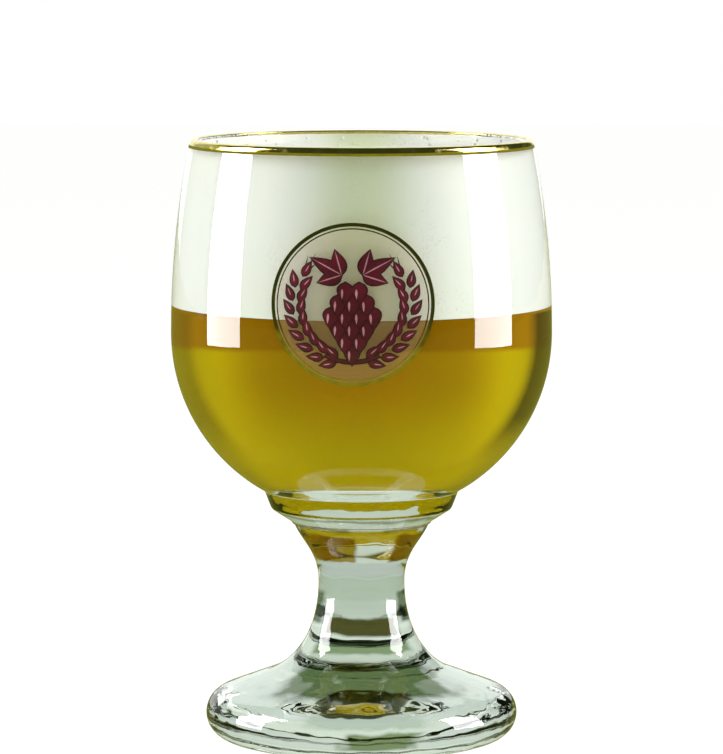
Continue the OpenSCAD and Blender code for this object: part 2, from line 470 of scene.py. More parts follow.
@dataclass(frozen=True)
class Glass(Finish):
    """Clear glass that lamps shine through.

    Args:
        ior: Refractive index against what touches the surface.
        tint: Colour of what passes through.
        ripple: Height of the pressed surface's ripples, in metres.
        ripples: How many ripples fit in a metre.
        painted_shades: Bands of painted shade on its front half.
        fade: How far each side of the axis that painted shade fades out, in metres.
        edge: The painted dark edge of a drink behind it, if it has one: painted shade in place of
            the dark room.
    """

    ior: float = GLASS_IOR
    tint: Colour = (0.96, 0.985, 0.96)
    ripple: float = 0.0
    ripples: float = 140.0
    painted_shades: tuple[PaintedShadeZone, ...] = ()
    fade: float = 1.5 * MM
    edge: PaintedDarkEdge | None = None

    def surface(self, tree: Tree) -> Link:
        """Glass for what is seen, and open air for the light on what stands behind it.

        Args:
            tree: The material's tree.

        Returns:
            The shader.
        """
        colour: Link | Colour = self.tint
        if self.painted_shades:
            colour = self._painted_shade(tree)
        if self.edge:
            colour = tree.mix(self.edge.share(tree), self.tint, self.edge.colour)
        sockets = {"Base_Color": colour, "Roughness": 0.0, "IOR": self.ior}
        if self.ripple:
            ripples = tree.blotches(self.ripples, detail=1.0)
            sockets["Normal"] = tree.bump(ripples, self.ripple)
        glass = tree.principled(Transmission_Weight=1.0, **sockets)
        open_air = tree.open_air()
        lit = tree.shade(tree.ray(Ray.DIFFUSE), glass, open_air)
        return tree.shade(tree.ray(Ray.SHADOW), lit, open_air)

    def _painted_shade(self, tree: Tree) -> Link | Colour:
        """The tint with its painted shade, band by band, with wavy borders, on the front half only.

        Args:
            tree: The material's tree.

        Returns:
            The colour of what passes.
        """
        _, y, z = tree.split(tree.place())
        height = z + tree.sway(scale=120.0, size=2.5 * MM)
        in_front = y.step(self.fade, -self.fade)
        round_to = tree.sideways(wave=0.3, scale=170.0)
        # Painted shade: each band darkens the tint in front, in place of the dark room and the beer
        # seen through the glass.
        depth: Link | Colour = self.tint
        for zone in self.painted_shades:
            depth = tree.mix(zone.share(height, round_to) * in_front, depth, zone.colour)
        return depth


@dataclass(frozen=True)
class Gilding(Finish):
    """Fired bright gold, a little worn.

    Args:
        colour: Colour of what it mirrors head on.
        roughness: Roughness of the smooth gold.
        wear: How much rougher its dull patches are.
        dull: How bright those patches are against it.
        scuff: Depth of its fine scuffs, in metres.
    """

    colour: Colour = (0.86, 0.7, 0.22)
    roughness: float = 0.1
    wear: float = 0.14
    dull: float = 0.86
    scuff: float = 0.004 * MM

    def surface(self, tree: Tree) -> Link:
        """Gold with dull patches and fine scuffs.

        Args:
            tree: The material's tree.

        Returns:
            The shader.
        """
        patches = tree.blotches(scale=420.0, detail=4.0).step(0.42, 0.68)
        scuffs = tree.blotches(scale=2600.0, detail=3.0)
        return tree.principled(
            Base_Color=tree.mix(patches, self.colour, scaled(self.colour, self.dull)),
            Metallic=1.0,
            Roughness=self.roughness + self.wear * patches,
            Normal=tree.bump(scuffs, self.scuff),
        )


@dataclass(frozen=True)
class Enamel(Finish):
    """Fired printing colour: glossy, with the mottling of a screen print.

    Args:
        colour: The colour itself.
        deep: The colour where the print lies thicker.
        clouds: How much of that its broad clouds bring.
        specks: How much of that its mottling brings.
        roughness: Roughness of its gloss.
        mottling: How much rougher the mottling makes it.
        relief: Height of the mottling, in metres.
        coat: Strength of the fired gloss on top.
        coat_roughness: Roughness of that gloss.
    """

    colour: Colour
    deep: Colour
    clouds: float = 0.55
    specks: float = 0.45
    roughness: float = 0.28
    mottling: float = 0.15
    relief: float = 0.012 * MM
    coat: float = 0.5
    coat_roughness: float = 0.12

    def surface(self, tree: Tree) -> Link:
        """Enamel in thick and thin clouds, with the grain of the screen.

        Args:
            tree: The material's tree.

        Returns:
            The shader.
        """
        mottle = tree.blotches(scale=1500.0, detail=4.0, rough=0.6)
        cloud = tree.blotches(scale=160.0).step(0.35, 0.65)
        share = (self.clouds * cloud + self.specks * mottle.step(0.3, 0.7)) * 0.9
        return tree.principled(
            Base_Color=tree.mix(share, self.colour, self.deep),
            Roughness=self.roughness + self.mottling * mottle,
            Coat_Weight=self.coat,
            Coat_Roughness=self.coat_roughness,
            Normal=tree.bump(mottle, self.relief),
        )


@dataclass(frozen=True)
class Ground(Finish):
    """The thin translucent colour that the emblem is printed on.

    Args:
        colour: Its colour.
        alpha: How much it covers what is behind it.
        pale: How bright its thin specks are against it.
        roughness: Roughness of its smooth places.
        mottling: How much rougher its grain makes it.
    """

    colour: Colour
    alpha: float
    pale: float = 1.12
    roughness: float = 0.3
    mottling: float = 0.2

    def surface(self, tree: Tree) -> Link:
        """A thin film with a fine grain.

        Args:
            tree: The material's tree.

        Returns:
            The shader.
        """
        grain = tree.blotches(scale=2200.0, detail=3.0)
        return tree.principled(
            Base_Color=tree.mix(grain, self.colour, scaled(self.colour, self.pale)),
            Roughness=self.roughness + self.mottling * grain,
            Alpha=self.alpha,
        )


@dataclass(frozen=True)
class BeerBody(Finish):
    """Hazy amber beer in a glass wall, so that its skin doesn't bend light.

    Args:
        amber: Colour under the foam.
        gold: Colour of the body in front: painted shade, darker than the sides.
        pale: Colour of the body at the sides and the bottom; at the sides it is painted light.
        amber_from: Height where the amber starts, in metres.
        amber_full: Height from which it is all amber.
        gold_from: Height where the gold starts.
        gold_full: Height from which the front is all gold.
        painted_middle_tone: Painted light: how much brighter in red, green and blue the middle of
            the front is painted.
        rim: Painted shade: how bright its left and right edges are painted against its sides.
        tilt: How fast the amber's border falls towards the front and back, to look level.
        haze: Colour of its haze.
        specks: How much haze its fine grain brings.
        clouds: How much haze its broad clouds bring.
        shadow: Colour of the light that it lets through to the table.
    """

    amber: Colour
    gold: Colour
    pale: Colour
    amber_from: float = 95.8 * MM
    amber_full: float = 97.4 * MM
    gold_from: float = 72 * MM
    gold_full: float = 94 * MM
    painted_middle_tone: Colour = (1.27, 1.1, 1.0)
    rim: float = 0.7
    tilt: float = 0.061
    haze: Colour = (0.7, 0.62, 0.4)
    specks: float = 0.22
    clouds: float = 0.1
    shadow: Colour = (0.9, 0.8, 0.45)

    def surface(self, tree: Tree) -> Link:
        """Beer that is amber on top, with painted light and shade: gold in front, brighter in the
        middle, pale at the sides and darker at the edges, with haze in it.

        Args:
            tree: The material's tree.

        Returns:
            The shader.
        """
        _, y, height = tree.split(tree.place())
        wavy = height - self.tilt * y.size() + tree.sway(60.0, 1.0 * MM)
        grain = tree.blotches(scale=1400.0, detail=3.0, rough=0.7).step(0.3, 0.75)
        cloud = tree.blotches(scale=45.0, detail=3.0).step(0.3, 0.7)
        # Painted light and shade by how far round a place lies: a brighter middle, a darker gold
        # front, paler sides and darker edges.
        aside = tree.sideways().size()
        front = tree.mix(aside.step(0.48, 0.1), self.gold, scaled(self.gold, *self.painted_middle_tone))
        front = tree.mix(height.step(self.gold_full, self.gold_from), front, self.pale)
        body = tree.mix(aside.step(0.5, 0.85), front, self.pale)
        body = tree.mix(aside.step(0.72, 0.94), body, scaled(self.pale, self.rim))
        colour = tree.mix(wavy.step(self.amber_from, self.amber_full), body, self.amber)
        veil = self.specks * grain + self.clouds * cloud
        hazy = tree.mix(veil, colour, self.haze, Blend.MULTIPLY)
        beer = tree.principled(Base_Color=hazy, Roughness=0.0, IOR=1.0)
        return tree.shade(tree.ray(Ray.SHADOW), beer, tree.open_air(self.shadow))


@dataclass(frozen=True)
class FoamBody(Finish):
    """Dense white foam, tinted by the beer near its foot.

    Args:
        fresh: Colour of the dry foam on top.
        wet: Colour of the foam over the beer.
        low: Height of its foot, in metres.
        high: Height above which it is dry.
        wall: How far from the axis its painted shade starts and is full.
        core: How far from the axis left and right start to differ.
        side: Painted shade: how bright its left and right are painted against the rest.
        painted_right_shade: Painted shade: how bright its right edge is painted against its sides.
        middle: Painted shade: how much of red, green and blue the wall keeps in front, darker and
            more yellow-green in the middle.
        speck: How bright its specks are against the wet foam.
        specks: How strong they are.
        relief: Height of its pores and swells, in metres.
    """

    fresh: Colour
    wet: Colour
    low: float
    high: float
    wall: tuple[float, float] = (33 * MM, 38.5 * MM)
    core: float = 34 * MM
    side: float = 0.78
    painted_right_shade: float = 0.85
    middle: Colour = (0.88, 0.93, 0.72)
    speck: float = 0.55
    specks: float = 0.4
    relief: float = 0.02 * MM

    def surface(self, tree: Tree) -> Link:
        """Foam with fine pores and coarse swells, with painted shade along the wall but not on top.

        Args:
            tree: The material's tree.

        Returns:
            The shader.
        """
        x, y, height = tree.split(tree.place())
        wall = (x * x + y * y).root().step(*self.wall)
        cells = {"Vector": tree.place(), "Scale": 1500.0}
        fine = tree.add("ShaderNodeTexVoronoi", {"feature": "F1"}, cells, out="Distance")
        coarse = tree.blotches(scale=300.0, detail=4.0, rough=0.6)
        speckled = tree.blotches(scale=90.0).step(0.5, 0.62) * fine.step(0.36, 0.12)
        colour = tree.mix(height.step(self.low, self.high), self.wet, self.fresh)
        # Painted shade on the wall: darker at the left and right, darker still at the right edge,
        # and darker and yellow-green in the middle of the front.
        dull = scaled(self.fresh, self.side)
        round_to = tree.sideways(core=self.core)
        aside = round_to.size()
        toned = tree.mix(wall * aside.step(0.45, 0.9), colour, dull)
        toned = tree.mix(wall * round_to.step(0.7, 0.95), toned, scaled(dull, self.painted_right_shade))
        painted_middle_tone = scaled(self.fresh, *self.middle)
        toned = tree.mix(wall * aside.step(0.38, 0.04), toned, painted_middle_tone)
        return tree.principled(
            Base_Color=tree.mix(self.specks * speckled, toned, scaled(self.wet, self.speck)),
            Roughness=0.55 + 0.25 * coarse,
            Normal=tree.bump(fine + coarse, self.relief, strength=0.3),
        )


@dataclass(frozen=True)
class FloorPaint(Finish):
    """Pale paint that the camera sees as white with a faint shadow.

    Args:
        colour: Colour of the paint.
        glow: Strength of the light that whitens it for the camera.
        kept: Share of the bare paint that the camera still sees, and its shadow with it.
        near: Colour of it through glass, close to the foot.
        far: Colour of it through glass, further away.
        near_to: How far from the axis it is near, in metres.
        far_from: How far from the axis it is far.
        mirrored: Colour of it in gloss.
    """

    colour: Colour = (0.8, 0.8, 0.8)
    glow: float = 1.28
    kept: float = 0.3
    near: Colour = (0.76, 0.84, 0.74)
    far: Colour = (0.62, 0.71, 0.6)
    near_to: float = 60 * MM
    far_from: float = 130 * MM
    mirrored: Colour = (0.24, 0.26, 0.04)

    def surface(self, tree: Tree) -> Link:
        """Bare paint for the light, and another face for each kind of ray that looks at it.

        Args:
            tree: The material's tree.

        Returns:
            The shader.
        """
        paint = tree.add("ShaderNodeBsdfDiffuse", {}, {"Color": self.colour})
        x, y, _ = tree.split(tree.place())
        away = (x * x + y * y).root().step(self.near_to, self.far_from)
        through = tree.glow(tree.mix(away, self.near, self.far))
        veiled = tree.shade(self.kept, tree.glow(strength=self.glow), paint)
        seen = tree.shade(tree.ray(Ray.CAMERA), paint, veiled)
        seen = tree.shade(tree.ray(Ray.GLOSSY), seen, tree.glow(self.mirrored))
        return tree.shade(tree.ray(Ray.TRANSMISSION), seen, through)


@dataclass(frozen=True)
class Glow(Finish):
    """The even bright face of a card.

    Args:
        strength: How bright it is, where 1 is white.
    """

    strength: float

    def surface(self, tree: Tree) -> Link:
        """The shader of that face."""
        return tree.glow(strength=self.strength)


# Meshes


def shown(name: str, verts: Sequence, faces: Sequence) -> bpy.types.Object:
    """Puts a new mesh into the scene.

    Args:
        name: The object's name.
        verts: The mesh's points.
        faces: Its faces, as numbers of those points.

    Returns:
        The object.
    """
    mesh = bpy.data.meshes.new(name)
    mesh.from_pydata(verts, [], faces)
    made = bpy.data.objects.new(name, mesh)
    bpy.context.scene.collection.objects.link(made)
    return made


def shade_smooth(mesh: bpy.types.Mesh) -> None:
    """Shades all faces as one curved surface."""
    mesh.polygons.foreach_set("use_smooth", [True] * len(mesh.polygons))


def dress(piece: bpy.types.Object, slot: str, *materials: bpy.types.Material) -> None:
    """Gives a piece its materials, and seats it on the body.

    Args:
        piece: The piece.
        slot: The record's material slot for its finish; not used.
        materials: Its materials, if its mesh has none yet.
    """
    for material in materials:
        piece.data.materials.append(material)
    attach(piece, BODY)
    LOG.info("%s: %d faces", piece.name, len(piece.data.polygons))


def coordinates(mesh: bpy.types.Mesh) -> np.ndarray:
    """Reads a mesh's points.

    Args:
        mesh: The mesh.

    Returns:
        The points, one row each.
    """
    co = np.zeros(len(mesh.vertices) * 3)
    mesh.vertices.foreach_get("co", co)
    return co.reshape(-1, 3)


class Outline:
    """The outline of turned work: points (radius, height) from the axis and back to it.

    Attributes:
        CORNER: Turn from which a corner is sharp, in radians.
        SAME: Distance below which two points are one, in metres.
        MOST: Most of a straight that the rounding of one end takes up.
        BEND: Where a rounding has its points, from its start at 0 to its end at 1.
    """

    CORNER: ClassVar[float] = math.radians(20)
    SAME: ClassVar[float] = 0.004 * MM
    MOST: ClassVar[float] = 0.45
    BEND: ClassVar[tuple[float, ...]] = (0.0, 0.25, 0.5, 0.75, 1.0)

    def __init__(self, points: Iterable[Point]) -> None:
        """Keeps the points, without repeats.

        Args:
            points: The outline's points in order.
        """
        self.points: list[Point] = []
        for p in points:
            if not self.points or math.dist(p, self.points[-1]) > self.SAME:
                self.points.append((float(p[0]), float(p[1])))

    @classmethod
    def of_node(cls, name: str) -> "Outline":
        """Reads a turned CAD node's outline off its mesh.

        Args:
            name: The node's name.

        Returns:
            Its outline from the lower end on the axis to the upper one.
        """
        mesh = frame["nodes"][name].data
        co = coordinates(mesh)
        places, group = cls._grouped(np.stack([np.hypot(co[:, 0], co[:, 1]), co[:, 2]], 1))
        edges = np.zeros(len(mesh.edges) * 2, int)
        mesh.edges.foreach_get("vertices", edges)
        pairs = group[edges.reshape(-1, 2)]
        near: dict[int, set[int]] = {i: set() for i in range(len(places))}
        for a, b in pairs[pairs[:, 0] != pairs[:, 1]]:
            near[int(a)].add(int(b))
            near[int(b)].add(int(a))
        ends = [i for i in near if len(near[i]) == 1]
        here = min(ends, key=lambda i: places[i][1])
        walk = [here]
        while True:
            onward = [i for i in near[here] if i not in walk]
            if not onward:
                break
            here = min(onward, key=lambda i: math.dist(places[i], places[here]))
            walk.append(here)
        path = [tuple(places[i]) for i in walk]
        return cls([(0.0, path[0][1]), *path, (0.0, path[-1][1])])

    @classmethod
    def _grouped(cls, flat: np.ndarray) -> tuple[list[Point], np.ndarray]:
        """Joins points that are the same but for rounding.

        Args:
            flat: Points as rows of radius and height.

        Returns:
            The distinct points, and each row's index among them.
        """
        places: list[Point] = []
        group = np.zeros(len(flat), int)
        left = np.ones(len(flat), bool)
        while left.any():
            first = int(np.argmax(left))
            same = left & (np.abs(flat - flat[first]).max(1) < cls.SAME)
            group[same] = len(places)
            places.append(tuple(flat[first]))
            left &= ~same
        return places, group

    def turning(self, i: int) -> float:
        """How sharply the outline turns at point i."""
        a, b, c = (Vector(p) for p in self.points[i - 1 : i + 2])
        return abs((b - a).angle_signed(c - b, 0.0))

    def rounded(self, radius: float) -> "Outline":
        """The same outline with its sharp corners rounded.

        Args:
            radius: How far from each corner the rounding starts, in metres.

        Returns:
            The rounded outline.
        """
        made = [self.points[0]]
        for i in range(1, len(self.points) - 1):
            if self.turning(i) < self.CORNER:
                made.append(self.points[i])
                continue
            a, b, c = (Vector(p) for p in self.points[i - 1 : i + 2])
            back = min(radius, self.MOST * (a - b).length)
            on = min(radius, self.MOST * (c - b).length)
            start, end = b + (a - b).normalized() * back, b + (c - b).normalized() * on
            for t in self.BEND:
                made.append(tuple(start.lerp(b, t).lerp(b.lerp(end, t), t)))
        return Outline([*made, self.points[-1]])

    def smooth(self, steps: int) -> "Outline":
        """A curve through the points, straight on at each end.

        Args:
            steps: How many pieces each span is cut into.

        Returns:
            The curve, as an outline of more points.
        """
        p = [Vector(q) for q in self.points]
        p = [Vector((-p[1].x, p[1].y)), *p, Vector((-p[-2].x, p[-2].y))]
        made: list[Point] = []
        for i in range(1, len(p) - 2):
            gap = [max((p[i + k] - p[i + k - 1]).length, 1e-9) ** 0.5 for k in range(3)]
            knots = [0.0, gap[0], gap[0] + gap[1], sum(gap)]
            for step in range(steps):
                t = knots[1] + gap[1] * step / steps
                made.append(tuple(self._blend(p[i - 1 : i + 3], knots, t)))
        return Outline([*made, self.points[-1]])

    @staticmethod
    def _blend(p: Sequence[Vector], knots: Sequence[float], t: float) -> Vector:
        """A point of the curve through p[1] and p[2], by repeated blending.

        Args:
            p: Four points in a row.
            knots: The curve's parameter at each of them.
            t: The parameter wanted.

        Returns:
            The point.
        """
        rows = list(p)
        for order in (1, 2, 3):
            spans = [Outline._span(knots, order, k) for k in range(len(rows) - 1)]
            rows = [
                rows[k].lerp(rows[k + 1], (t - low) / (high - low))
                for k, (low, high) in enumerate(spans)
            ]
        return rows[0]

    @staticmethod
    def _span(knots: Sequence[float], order: int, k: int) -> tuple[float, float]:
        """The stretch of knots that blend k of an order runs over."""
        return (knots[1], knots[2]) if order == 3 else (knots[k], knots[k + order])


def turned(
    path: Sequence[Point], segments: int, closed: bool = False
) -> tuple[list[tuple[float, ...]], list[tuple[int, ...]]]:
    """Turns a path about Z.

    Args:
        path: Points of radius and height.
        segments: Facets round the axis.
        closed: Whether its last point joins up with its first.

    Returns:
        The turned points, ring by ring, and the faces between the rings.
    """
    turn = np.linspace(0, 2 * math.pi, segments, endpoint=False)
    points = [(r * math.cos(a), r * math.sin(a), z) for r, z in path for a in turn]
    faces = []
    for i in range(len(path) if closed else len(path) - 1):
        here, there = i * segments, (i + 1) % len(path) * segments
        for j in range(segments):
            k = (j + 1) % segments
            faces.append((here + j, here + k, there + k, there + j))
    return points, faces


def turned_mesh(
    name: str,
    outline: Outline,
    segments: int,
    slot_of: Callable[[Point], int] = lambda p: 0,
) -> bpy.types.Object:
    """Turns an outline about Z into a closed smooth mesh.

    Args:
        name: The piece's name.
        outline: Points from the axis out and back to the axis.
        segments: Facets round the axis.
        slot_of: The material slot of the stretch of outline round a point.

    Returns:
        The object, linked to the scene.
    """
    inner = outline.points[1:-1]
    verts, faces = turned(inner, segments)
    slots = []
    for a, b in zip(inner, inner[1:]):
        slots += [slot_of(((a[0] + b[0]) / 2, (a[1] + b[1]) / 2))] * segments
    low, high, last = len(verts), len(verts) + 1, len(verts) - segments
    for j in range(segments):
        k = (j + 1) % segments
        faces += [(low, k, j), (high, last + j, last + k)]
        slots += [slot_of(inner[0]), slot_of(inner[-1])]
    verts += [(0.0, 0.0, outline.points[0][1]), (0.0, 0.0, outline.points[-1][1])]
    made = shown(name, verts, faces)
    made.data.polygons.foreach_set("material_index", slots)
    shade_smooth(made.data)
    made.data.update()
    return made


# Pieces


class GlassSlot(IntEnum):
    """The glass's material slots, by what its surface is like."""

    CLEAR = 0
    WETTED = 1
    PRESSED = 2


@dataclass
class Goblet:
    """The glass itself: foot, stem, collar and bowl, fused as in the real one.

    Args:
        segments: Facets round the axis.
        corner: Rounding of its pressed corners, in metres.
        bare: How far below the lip the foam ends on the wall.
        floor_gap: How far under the cup's floor a surface still counts as wetted.
        wall_gap: How far out of the inner wall a surface still counts as wetted.
        nodes: The CAD nodes that it stands for, from the table up.

    Attributes:
        PAINTED_SHADE: Painted shade on the front of its foot, stem and collar: dark and green-grey
            bands, and amber where the beer shows through.
        outline: Its outline, from the axis under the foot to the axis in the cup.
        lip: The outline's highest point.
        top: That point's number in the outline.
        inner: The outline from the lip down to the axis in the cup.
        bowl_foot: Height where the bowl starts.
    """

    # Painted shade and painted amber of the beer, on the front half only; not the glass's own tint.
    PAINTED_SHADE: ClassVar[tuple[PaintedShadeZone, ...]] = (
        PaintedShadeZone(52, 66, (0.66, 0.71, 0.6)),
        PaintedShadeZone(55.2, 56, (0.05, 0.05, 0.002)),
        PaintedShadeZone(52.7, 53.5, (0.12, 0.12, 0.02), -0.2, 0.35, outside=True),
        PaintedShadeZone(44.5, 51.5, (0.8, 0.84, 0.75)),
        PaintedShadeZone(44.5, 51.5, (0.17, 0.08, 0.0004), -0.1, 0.55, outside=True),
        PaintedShadeZone(40.5, 44.5, (0.52, 0.56, 0.54)),
        PaintedShadeZone(31, 40.5, (0.5, 0.56, 0.5)),
        PaintedShadeZone(29, 36.5, (0.03, 0.05, 0.03), -0.82, 0.82, outside=True),
        PaintedShadeZone(26.5, 31, (0.012, 0.011, 0.001), -0.75, 0.75),
        PaintedShadeZone(22, 25.5, (0.1, 0.17, 0.06), -0.8, 0.8, blur=1.5),
        PaintedShadeZone(20.5, 22, (0.6, 0.66, 0.6), -0.8, 0.8),
        PaintedShadeZone(13.3, 20.5, (0.025, 0.05, 0.01), -0.78, 0.85, blur=1.5),
        PaintedShadeZone(8, 12.5, (0.6, 0.66, 0.56), -0.35, 0.4),
        PaintedShadeZone(3, 7.2, (0.09, 0.14, 0.04), -0.12, 0.35),
    )

    segments: int = 180
    corner: float = 0.35 * MM
    bare: float = 0.8 * MM
    floor_gap: float = 0.01 * MM
    wall_gap: float = 0.5 * MM
    nodes: tuple[str, ...] = ("foot", "stem", "collar", "bowl")
    outline: Outline = field(init=False)
    lip: Point = field(init=False)
    top: int = field(init=False)
    inner: Outline = field(init=False)
    bowl_foot: float = field(init=False)

    def __post_init__(self) -> None:
        """Joins the four CAD outlines into one."""
        foot, stem, collar, bowl = (Outline.of_node(n).points for n in self.nodes)
        joined = [*foot[:-1], *stem[1:-1], *collar[1:-1], *bowl[1:]]
        smooth = Outline(joined).rounded(self.corner).smooth(steps=2).points
        self.outline = Outline((r, max(z, 0.0)) for r, z in smooth)
        points = self.outline.points
        self.lip = max(points, key=lambda p: p[1])
        self.top = points.index(self.lip)
        self.inner = Outline(points[self.top :])
        self.bowl_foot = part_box("bowl")[0].z

    def wall_slopes(self, heights: np.ndarray) -> np.ndarray:
        """How fast the bowl's outer radius grows with height.

        Args:
            heights: Where to look.

        Returns:
            The slope at each of them.
        """
        outside = [p for p in self.outline.points[: self.top] if p[1] >= self.bowl_foot]
        radii, levels = np.array(outside).T
        above, under = (np.interp(heights + side, levels, radii) for side in (MM, -MM))
        return (above - under) / (2 * MM)

    def build(self) -> None:
        """Makes and dresses the glass."""
        full_to = self.lip[1] - self.bare
        inner_r = {z: r for r, z in self.outline.points[self.top :]}
        heights = np.array(list(inner_r))
        floor = min(inner_r) - self.floor_gap

        def slot_of(p: Point) -> GlassSlot:
            """What the surface is like at a point of the outline.

            Args:
                p: The point.

            Returns:
                The slot of its material.
            """
            if p[1] < self.bowl_foot:
                return GlassSlot.PRESSED
            nearest = inner_r[heights[np.argmin(np.abs(heights - p[1]))]]
            wetted = floor <= p[1] < full_to and p[0] <= nearest + self.wall_gap
            return GlassSlot.WETTED if wetted else GlassSlot.CLEAR

        piece = turned_mesh("goblet_glass", self.outline, self.segments, slot_of)
        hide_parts(*self.nodes)
        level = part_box("beer")[1].z
        finishes = {
            GlassSlot.CLEAR: Glass("clear_glass"),
            # The wetted wall carries a painted dark edge: painted shade at the beer's sides.
            GlassSlot.WETTED: Glass("wetted_glass", GLASS_IOR / BEER_IOR, edge=PaintedDarkEdge(level)),
            # The pressed glass carries the bands of painted shade.
            GlassSlot.PRESSED: Glass(
                "foot_glass", tint=(0.93, 0.97, 0.93), ripple=0.32 * MM, painted_shades=self.PAINTED_SHADE
            ),
        }
        dress(piece, "glass", *(finishes[slot].material() for slot in GlassSlot))


@dataclass
class Drink:
    """The beer and its head of foam, in contact with the glass all round.

    Args:
        glass: The goblet that holds them.
        segments: Facets round the axis.
        skin: Gap that keeps their faces apart from the glass, in metres.
        cling: Width of the rim of foam that climbs the glass to the gold.
        curl: Where that rim's curve has its points, in radians from the wall to the top.
        crown: Where the flat top has its rings, as shares of the wall's radius.
        floor_radius: Distance from the axis within which the wall counts as the cup's floor.
        wall_radius: Distance from the axis beyond which the wall has one radius per height.
        wet_height: How far up the foam is tinted by the beer.
    """

    glass: Goblet
    segments: int = 200
    skin: float = 0.05 * MM
    cling: float = 5 * MM
    curl: tuple[float, ...] = (0.2, 0.45, 0.7, 1.0, 1.3, math.pi / 2)
    crown: tuple[float, ...] = (0.75, 0.5, 0.25)
    floor_radius: float = 20 * MM
    wall_radius: float = 15 * MM
    wet_height: float = 22 * MM

    def _filling(self, low: float, high: float) -> list[Point]:
        """The inside wall between two heights, a skin away from the glass.

        Args:
            low: The lower height.
            high: The upper height.

        Returns:
            The wall's points, from the bottom up.
        """
        wall = [(p[0] - self.skin, p[1]) for p in reversed(self.glass.inner.points)]
        wall = [(max(r, 0.0), z + self.skin * (r < self.floor_radius)) for r, z in wall]
        radii, heights = zip(*[p for p in wall if p[0] > self.wall_radius])
        first, last = ((float(np.interp(z, heights, radii)), z) for z in (low, high))
        kept = [p for p in wall if low < p[1] < high]
        return [*kept, last] if low <= wall[0][1] else [first, *kept, last]

    def build(self) -> None:
        """Makes and dresses both."""
        lowest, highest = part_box("beer")
        floor, level = lowest.z, highest.z
        wall = self._filling(floor, level - self.skin)
        outline = Outline([(0.0, floor + self.skin), *wall[1:], (0.0, level - self.skin)])
        piece = turned_mesh("beer_body", outline, self.segments)
        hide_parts("beer")
        # The beer's gold front and pale sides are painted shade and painted light.
        beer = BeerBody(
            "hazy_beer",
            amber=srgb(150, 106, 2),
            gold=srgb(168, 130, 2),
            pale=srgb(192, 168, 2),
        )
        dress(piece, "beer", beer.material())
        self._foam(level)

    def _foam(self, level: float) -> None:
        """Makes the head of foam, and strews bubbles over it.

        Args:
            level: Height of the beer's surface.
        """
        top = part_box("foam_head")[1].z
        crest = self.glass.lip[1] - self.glass.bare
        side = self._filling(level + self.skin, crest)
        wall = side[-1][0]
        cling = []
        for turn in self.curl:
            out, drop = math.cos(turn), 1 - math.sin(turn)
            cling.append((wall - self.cling * (1 - out), top + (crest - top) * drop))
        crown = [(wall * share, top) for share in self.crown]
        outline = Outline([(0.0, level + self.skin), *side, *cling, *crown, (0.0, top)])
        piece = turned_mesh("foam", outline, self.segments)
        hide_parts("foam_head")
        foam = FoamBody(
            "white_foam",
            fresh=srgb(253, 253, 250),
            wet=srgb(250, 251, 242),
            low=level,
            high=level + self.wet_height,
        ).material()
        dress(piece, "foam", foam)
        dress(Bubbles("foam_bubbles").over([*cling, *crown, (MM, top)], foam), "foam")


